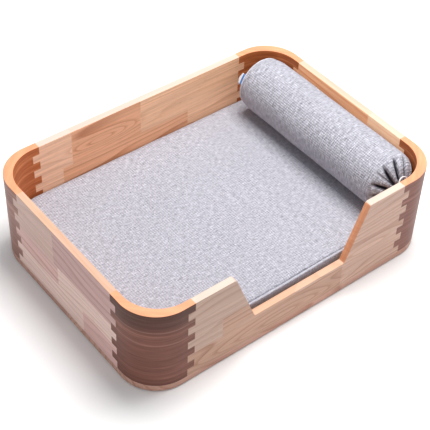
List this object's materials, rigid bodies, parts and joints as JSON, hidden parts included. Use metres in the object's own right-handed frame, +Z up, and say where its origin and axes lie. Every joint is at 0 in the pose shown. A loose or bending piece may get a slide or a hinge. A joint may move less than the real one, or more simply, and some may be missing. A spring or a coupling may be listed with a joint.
{
  "type": "framed dog bed",
  "caption": "Open rounded wooden tray with finger-jointed corner blocks and a trapezoid doorway, holding a piped mattress and a round bolster.",
  "frame": {"origin": "on the floor, under the centre of the bed's outline", "axes": "+Z up; +X along the length, to the right for someone facing the doorway; the doorway faces -Y"},
  "size_m": [0.7, 0.51, 0.2098],
  "materials": {
    "board_wood": "satin",
    "corner_wood": "satin",
    "base_wood": "satin",
    "steel": "satin",
    "pad_rubber": "matte",
    "foam": "matte",
    "top_fabric": "matte",
    "side_fabric": "matte",
    "bottom_fabric": "matte",
    "piping_fabric": "matte",
    "zip_tape": "matte",
    "zip_plastic": "satin",
    "zip_metal": "satin",
    "stuffing": "matte",
    "label_ribbon": "satin",
    "white_cord": "matte"
  },
  "bodies": {
    "tray": {"base_board": "base_wood", "base_screws": "steel", "front_board": "board_wood", "back_board": "board_wood", "left_board": "board_wood", "right_board": "board_wood", "corner_front_left": "corner_wood", "corner_front_right": "corner_wood", "corner_back_left": "corner_wood", "corner_back_right": "corner_wood", "foot_pad_front_left": "pad_rubber", "foot_pad_front_right": "pad_rubber", "foot_pad_back_left": "pad_rubber", "foot_pad_back_right": "pad_rubber"},
    "mattress": {"mattress_foam": "foam", "mattress_top_panel": "top_fabric", "mattress_boxing": "side_fabric", "mattress_bottom_panel": "bottom_fabric", "mattress_piping_top": "piping_fabric", "mattress_piping_bottom": "piping_fabric", "zip_tape_upper": "zip_tape", "zip_tape_lower": "zip_tape", "zip_coil": "zip_plastic"},
    "slider": {"zip_slider": "zip_metal"},
    "bolster": {"bolster_pillow": "stuffing", "bolster_cover": "top_fabric", "bolster_end_panel": "top_fabric", "bolster_end_piping": "piping_fabric", "bolster_label": "label_ribbon", "bolster_drawcord": "white_cord"}
  },
  "joints": [
    {"name": "mattress_lift", "type": "slide", "parent": "tray", "child": "mattress", "axis": [0, 0, 1], "range_m": [0, 0.22]},
    {"name": "bolster_lift", "type": "slide", "parent": "mattress", "child": "bolster", "axis": [0, 0, 1], "range_m": [0, 0.15]},
    {"name": "zip_slide", "type": "slide", "parent": "mattress", "child": "slider", "axis": [1, 0, 0], "range_m": [-0.41, 0]}
  ]
}
